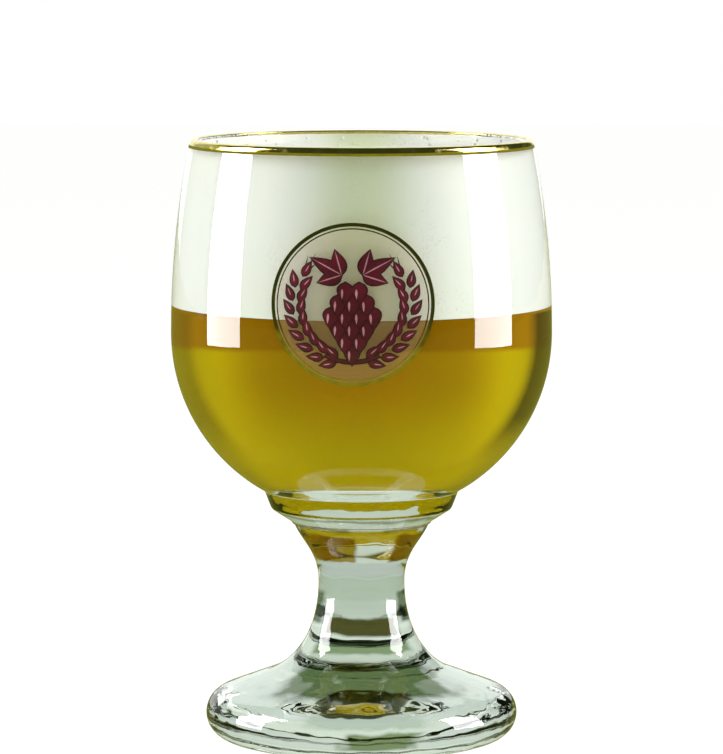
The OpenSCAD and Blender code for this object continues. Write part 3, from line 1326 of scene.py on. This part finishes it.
@dataclass(frozen=True)
class Bubbles:
    """Round bubbles strewn over a turned surface by Geometry Nodes.

    Args:
        name: The piece's name.
        number: How many there are in a square metre.
        small: Smallest radius, in metres.
        large: Largest radius.
        skew: How much commoner small ones are, where 1 is not at all.
        sides: Facets of a bubble round its middle.
        rings: Facets of a bubble from pole to pole.
        seed: What their places follow from.
        facets: Facets of the turned surface round the axis.
    """

    name: str
    number: float = 3.0e5
    small: float = 0.06 * MM
    large: float = 0.55 * MM
    skew: float = 3.0
    sides: int = 8
    rings: int = 6
    seed: int = SEED
    facets: int = 96

    def _group(self, material: bpy.types.Material) -> bpy.types.GeometryNodeTree:
        """The node group that strews them.

        Args:
            material: What they are made of.

        Returns:
            The group, with named inputs for its sizes.
        """
        group = bpy.data.node_groups.new(self.name, "GeometryNodeTree")
        sides = (
            ("Surface", "INPUT", "NodeSocketGeometry"),
            ("Number", "INPUT", "NodeSocketFloat"),
            ("Small", "INPUT", "NodeSocketFloat"),
            ("Large", "INPUT", "NodeSocketFloat"),
            ("Seed", "INPUT", "NodeSocketInt"),
            ("Bubbles", "OUTPUT", "NodeSocketGeometry"),
        )
        for name, side, kind in sides:
            group.interface.new_socket(name, in_out=side, socket_type=kind)

        def add(kind: str, sockets: dict, **settings: str) -> bpy.types.NodeOutputs:
            """Adds a node with its settings and then its inputs.

            Args:
                kind: The node's type.
                sockets: Values or linked sockets of its inputs, by name or number.
                settings: The node's own settings.

            Returns:
                Its outputs.
            """
            node = group.nodes.new(kind)
            for name, value in settings.items():
                setattr(node, name, value)
            for name, value in sockets.items():
                if isinstance(value, bpy.types.NodeSocket):
                    group.links.new(value, node.inputs[name])
                else:
                    node.inputs[name].default_value = value
            return node.outputs

        given = add("NodeGroupInput", {})
        strewn = {"Mesh": given["Surface"], "Density": given["Number"], "Seed": given["Seed"]}
        points = add("GeometryNodeDistributePointsOnFaces", strewn)["Points"]
        facets = {"Segments": self.sides, "Rings": self.rings, "Radius": 1.0}
        ball = add("GeometryNodeMeshUVSphere", facets)["Mesh"]
        drawn = {"Min": 0.0, "Max": 1.0, "Seed": given["Seed"]}
        lot = add("FunctionNodeRandomValue", drawn, data_type="FLOAT")[1]
        mostly_small = add("ShaderNodeMath", {0: lot, 1: self.skew}, operation="POWER")[0]
        spread = {"Value": mostly_small, "To Min": given["Small"], "To Max": given["Large"]}
        radius = add("ShaderNodeMapRange", spread)[0]
        placed = {"Points": points, "Instance": ball, "Scale": radius}
        balls = add("GeometryNodeInstanceOnPoints", placed)[0]
        solid = add("GeometryNodeRealizeInstances", {"Geometry": balls})[0]
        painted = add("GeometryNodeSetMaterial", {"Geometry": solid, "Material": material})[0]
        add("NodeGroupOutput", {"Bubbles": painted})
        return group

    def over(self, path: Sequence[Point], material: bpy.types.Material) -> bpy.types.Object:
        """Strews them over the surface that a path makes when it is turned about Z.

        Args:
            path: Points of radius and height.
            material: What they are made of.

        Returns:
            All of them as one mesh.
        """
        made = shown(self.name, *turned(path, self.facets))
        modifier = made.modifiers.new("strewn", "NODES")
        modifier.node_group = self._group(material)
        values = {"Number": self.number, "Small": self.small, "Large": self.large, "Seed": self.seed}
        for item in modifier.node_group.interface.items_tree:
            if item.name in values:
                modifier[item.identifier] = values[item.name]
        made.update_tag()
        graph = bpy.context.evaluated_depsgraph_get()
        made.data = bpy.data.meshes.new_from_object(made.evaluated_get(graph))
        made.modifiers.clear()
        shade_smooth(made.data)
        return made


class Layer(Enum):
    """The emblem's printed layers: CAD node, and the record's slot for its colour."""

    GROUND = ("emblem_ground", "ground_tint")
    GILDING = ("emblem_gilding", "gilding")
    LINEWORK = ("emblem_linework", "dark_enamel")
    ENAMEL = ("emblem_enamel", "red_enamel")
    HIGHLIGHTS = ("emblem_highlights", "pale_enamel")


@dataclass
class Emblem:
    """The printed medallion on the front of the bowl.

    Args:
        glass: The goblet that carries it.
        same: Distance below which two points of a print are one, in metres.
        along: How well a face has to follow the bowl to be shaded with it, up to 1.

    Attributes:
        FINISHES: What each layer is printed in.
    """

    FINISHES: ClassVar[dict[Layer, Finish]] = {
        Layer.GROUND: Ground("emblem_tint", srgb(236, 200, 150), 0.1),
        Layer.GILDING: Gilding("emblem_gold", roughness=0.08, wear=0.08),
        Layer.LINEWORK: Enamel("dark_enamel", srgb(58, 12, 24), srgb(28, 6, 12)),
        Layer.ENAMEL: Enamel("red_enamel", srgb(128, 10, 46), srgb(78, 4, 26)),
        Layer.HIGHLIGHTS: Enamel("pale_enamel", srgb(232, 176, 188), srgb(196, 120, 138)),
    }

    glass: Goblet
    same: float = 0.002 * MM
    along: float = 0.6

    def build(self) -> None:
        """Copies each printed layer with smooth shading and dresses it."""
        for layer in Layer:
            node, slot = layer.value
            piece = frame["nodes"][node].copy()
            piece.data = piece.data.copy()
            piece.data.materials.clear()
            piece.name = node.replace("emblem_", "print_")
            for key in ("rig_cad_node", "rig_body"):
                del piece[key]
            piece.parent = None
            bpy.context.scene.collection.objects.link(piece)
            self._smooth(piece.data)
            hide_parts(node)
            dress(piece, slot, self.FINISHES[layer].material())

    def _smooth(self, mesh: bpy.types.Mesh) -> None:
        """Merges a print's loose triangles and shades it along the bowl.

        Args:
            mesh: The print's mesh.
        """
        work = bmesh.new()
        work.from_mesh(mesh)
        bmesh.ops.remove_doubles(work, verts=work.verts, dist=self.same)
        work.to_mesh(mesh)
        work.free()
        corners = np.zeros(len(mesh.loops), int)
        mesh.loops.foreach_get("vertex_index", corners)
        co = coordinates(mesh)[corners]
        out = co[:, :2] / np.hypot(co[:, 0], co[:, 1])[:, None]
        normals = np.column_stack([out, -self.glass.wall_slopes(co[:, 2])])
        normals /= np.linalg.norm(normals, axis=1)[:, None]
        shade_smooth(mesh)
        for face in mesh.polygons:
            own = np.array(face.normal)
            around = normals[list(face.loop_indices)]
            around[around @ own < self.along] = own
            normals[list(face.loop_indices)] = around
        mesh.normals_split_custom_set(normals)


@dataclass
class GiltRim:
    """The gold band over the lip.

    Args:
        glass: The goblet that carries it.
        segments: Facets round the axis.
        thickness: How far it stands off the glass, in metres.
        inside: How far it comes down inside the lip.
    """

    glass: Goblet
    segments: int = 240
    thickness: float = 0.05 * MM
    inside: float = 0.35 * MM

    def build(self) -> None:
        """Makes and dresses the band."""
        lowest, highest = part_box("gilt_rim")
        low, stop = lowest.z, highest.z - self.inside
        points = self.glass.outline.points
        top = self.glass.top
        first = next(i for i in range(top, 0, -1) if points[i][1] < low)
        last = next(i for i in range(top, len(points)) if points[i][1] < stop)
        under = [
            self._level(points[first], points[first + 1], low),
            *points[first + 1 : last],
            self._level(points[last - 1], points[last], stop),
        ]
        piece = self._hoop("gold_band", [*under, *reversed(self._offset(under))])
        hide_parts("gilt_rim")
        dress(piece, "gilding", Gilding("rim_gold").material())

    @staticmethod
    def _level(a: Point, b: Point, height: float) -> Point:
        """The point at a height on the line between two points."""
        return tuple(Vector(a).lerp(Vector(b), (height - a[1]) / (b[1] - a[1])))

    def _offset(self, path: Sequence[Point]) -> list[Point]:
        """Moves a path out by the gold's thickness.

        Args:
            path: Points on the glass.

        Returns:
            The points on the gold.
        """
        made = []
        for i, p in enumerate(path):
            a, b = Vector(path[max(i - 1, 0)]), Vector(path[min(i + 1, len(path) - 1)])
            along = (b - a).normalized()
            made.append((p[0] + along.y * self.thickness, p[1] - along.x * self.thickness))
        return made

    def _hoop(self, name: str, ring: Sequence[Point]) -> bpy.types.Object:
        """Turns a closed outline that stays clear of the axis.

        Args:
            name: The piece's name.
            ring: The outline's points.

        Returns:
            The object, linked to the scene.
        """
        made = shown(name, *turned(ring, self.segments, closed=True))
        work = bmesh.new()
        work.from_mesh(made.data)
        bmesh.ops.recalc_face_normals(work, faces=work.faces)
        work.to_mesh(made.data)
        work.free()
        shade_smooth(made.data)
        return made


# Studio


@dataclass(frozen=True)
class Panel:
    """A panel of the studio, as a range of directions from the glass.

    Args:
        left: Its left edge, in degrees to the right of straight behind the glass.
        right: Its right edge.
        top: Its top edge, in degrees above level.
        colour: How bright it looks.
        soft: Half the width of its blurred border, in degrees.
    """

    left: float
    right: float
    top: float
    colour: Colour
    soft: float = 1.0

    def share(self, bearing: Link, rise: Link) -> Link:
        """How much of the panel a direction sees.

        Args:
            bearing: The direction's angle round the glass, in degrees.
            rise: Its angle above level.

        Returns:
            A share from 0 to 1.
        """
        across = bearing.window(self.left, self.right, self.soft)
        return across * rise.step(self.top + 4 * self.soft, self.top)


@dataclass(frozen=True)
class Lamp:
    """A tall soft lamp, with a bright card that only gloss mirrors.

    Args:
        side: Its name.
        bearing: Where it stands, in degrees to the right of straight behind the glass.
        half: Half its width, in degrees as seen from the glass.
        card_bearing: Where the card stands.
        card_half: Half the card's width, in degrees.
    """

    side: str
    bearing: float
    half: float
    card_bearing: float
    card_half: float


@dataclass
class Studio:
    """Camera, floor, lamps and surroundings.

    Args:
        distance: From the camera to the axis, level.
        camera_height: Height of the camera.
        aim_height: Height of the point on the axis that it looks at.
        lens: Focal length in millimetres.
        sensor: Width of the sensor in millimetres.
        ambient: Strength of the light from all round.
        ambient_colour: Its colour.
        dark: How dark glass and gold see the room between the panels.
        floor_front: How far the floor reaches in front of the axis.
        floor_back: How far it reaches behind.
        floor_side: How far it reaches to each side.
        floor_drop: How far it lies under the foot.
        lamp_distance: From each lamp to the axis, level.
        lamp_height: Height of the lamps and cards.
        lamp_power: Watts for each square metre of lamp, over pi.
        streak: Strength of the cards.

    Attributes:
        SEEN_THROUGH: What glass shows of the room, the nearest last.
        MIRRORED: What gloss shows of it.
        LAMPS: The lamps, each with its card.
    """

    SEEN_THROUGH: ClassVar[tuple[Panel, ...]] = (
        Panel(-70, 64, 36, (0.66, 0.74, 0.68)),
        Panel(66, 108, 50, (1.3, 1.35, 1.3)),
        Panel(-104, -74, 50, (1.3, 1.35, 1.3)),
    )
    MIRRORED: ClassVar[tuple[Panel, ...]] = (
        Panel(-70, 20, 30, (0.42, 0.47, 0.38)),
        Panel(-30, 18, 40, (1.1, 1.15, 1.1)),
    )
    LAMPS: ClassVar[tuple[Lamp, ...]] = (
        Lamp("left", -87.0, 17.0, -90.0, 14.0),
        Lamp("right", 82.0, 25.0, 95.0, 15.0),
    )

    distance: float = 1.1
    camera_height: float = 0.2053
    aim_height: float = 0.08873
    lens: float = 215.98
    sensor: float = 36.0
    ambient: float = 0.42
    ambient_colour: Colour = (0.93, 1.0, 0.8)
    dark: Colour = (0.03, 0.042, 0.018)
    floor_front: float = 1.0
    floor_back: float = 3.0
    floor_side: float = 1.6
    floor_drop: float = 0.02 * MM
    lamp_distance: float = 0.9
    lamp_height: float = 0.95
    lamp_power: float = 5.0
    streak: float = 15.0

    def camera(self) -> None:
        """Places the camera as the photograph's stood."""
        data = bpy.data.cameras.new("camera")
        data.lens = self.lens
        data.sensor_width = self.sensor
        made = bpy.data.objects.new("camera", data)
        made.location = (0.0, -self.distance, self.camera_height)
        look = Vector((0, 0, self.aim_height)) - made.location
        made.rotation_euler = look.to_track_quat("-Z", "Y").to_euler()
        bpy.context.scene.collection.objects.link(made)
        bpy.context.scene.camera = made

    def world(self) -> None:
        """White all round for the camera, and panels in a dark room for glass and gold."""
        world = bpy.data.worlds.new("studio")
        bpy.context.scene.world = world
        tree = Tree(world)
        x, y, z = tree.split(tree.add("ShaderNodeTexCoord", out="Generated"))
        bearing = x.maths("ARCTAN2", x, y) * (180 / math.pi)
        rise = z.maths("ARCSINE", z) * (180 / math.pi)
        through = self._panels(tree, bearing, rise, self.SEEN_THROUGH)
        mirrored = self._panels(tree, bearing, rise, self.MIRRORED)
        seen = tree.sky(self.ambient_colour, self.ambient)
        seen = tree.shade(tree.ray(Ray.GLOSSY), seen, tree.sky(mirrored))
        seen = tree.shade(tree.ray(Ray.TRANSMISSION), seen, tree.sky(through))
        seen = tree.shade(tree.ray(Ray.CAMERA), seen, tree.sky((1.0, 1.0, 1.0)))
        tree.finish(seen, "ShaderNodeOutputWorld")

    def _panels(self, tree: Tree, bearing: Link, rise: Link, panels: Sequence[Panel]) -> Link:
        """The colour of the surroundings in each direction.

        Args:
            tree: The world's tree.
            bearing: The direction's angle round the glass, in degrees.
            rise: Its angle above level.
            panels: What stands there, the nearest last.

        Returns:
            The colour.
        """
        seen: Link | Colour = self.dark
        for panel in panels:
            seen = tree.mix(panel.share(bearing, rise), seen, panel.colour)
        return seen

    def floor(self) -> None:
        """Lays the floor that the glass stands on."""
        low, high = (-self.floor_side, -self.floor_front), (self.floor_side, self.floor_back)
        self._sheet("floor", low, high, -self.floor_drop, FloorPaint("white_floor"))

    @staticmethod
    def _sheet(
        name: str, low: Point, high: Point, height: float, finish: Finish
    ) -> bpy.types.Object:
        """Makes a flat rectangle that isn't part of the object.

        Args:
            name: Its name.
            low: Its corner at the left and in front.
            high: Its corner at the right and behind.
            height: Its height.
            finish: What it is made of.

        Returns:
            The rectangle.
        """
        (left, front), (right, back) = low, high
        corners = [(left, front), (right, front), (right, back), (left, back)]
        made = shown(name, [(x, y, height) for x, y in corners], [(0, 1, 2, 3)])
        made.data.materials.append(finish.material())
        return made

    def lamps(self) -> None:
        """Stands the lamps and their cards on the floor."""
        for lamp in self.LAMPS:
            width = self._width(lamp.half)
            data = bpy.data.lights.new(f"{lamp.side}_lamp", "AREA")
            data.shape = "RECTANGLE"
            data.size, data.size_y = width, self.lamp_height
            data.energy = self.lamp_power * math.pi * width * self.lamp_height
            made = bpy.data.objects.new(data.name, data)
            bpy.context.scene.collection.objects.link(made)
            made.visible_glossy = False
            self._stand(made, lamp.bearing)
            card = self._card(f"{lamp.side}_card", self._width(lamp.card_half))
            self._stand(card, lamp.card_bearing)

    def _width(self, half: float) -> float:
        """The width of a panel that reaches half degrees to each side of its middle."""
        return 2 * self.lamp_distance * math.tan(math.radians(half))

    def _stand(self, made: bpy.types.Object, bearing: float) -> None:
        """Stands a lamp or a card on the floor, facing the glass, unseen by the camera.

        Args:
            made: The lamp or card.
            bearing: Where it stands, in degrees to the right of straight behind the glass.
        """
        a = math.radians(bearing)
        inward = -Vector((math.sin(a), math.cos(a), 0))
        made.location = -inward * self.lamp_distance + Vector((0, 0, self.lamp_height / 2))
        made.rotation_euler = inward.to_track_quat("-Z", "Y").to_euler()
        made.visible_camera = False
        made.visible_transmission = False

    def _card(self, name: str, width: float) -> bpy.types.Object:
        """Makes a bright flat card that only mirror rays see.

        Args:
            name: Its name.
            width: Its width.

        Returns:
            The card.
        """
        x, y = width / 2, self.lamp_height / 2
        made = self._sheet(name, (-x, -y), (x, y), 0.0, Glow(name, self.streak))
        made.visible_diffuse = False
        made.visible_shadow = False
        return made

    def build(self) -> None:
        """Sets up everything round the object."""
        self.camera()
        self.world()
        self.floor()
        self.lamps()
        bpy.context.scene.view_settings.view_transform = "Standard"


def main() -> None:
    """Builds the studio and every piece."""
    logging.basicConfig(level=logging.INFO, format="%(name)s %(message)s")
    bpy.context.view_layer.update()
    Studio().build()
    glass = Goblet()
    glass.build()
    GiltRim(glass).build()
    Drink(glass).build()
    Emblem(glass).build()


if __name__ == "__main__":
    main()
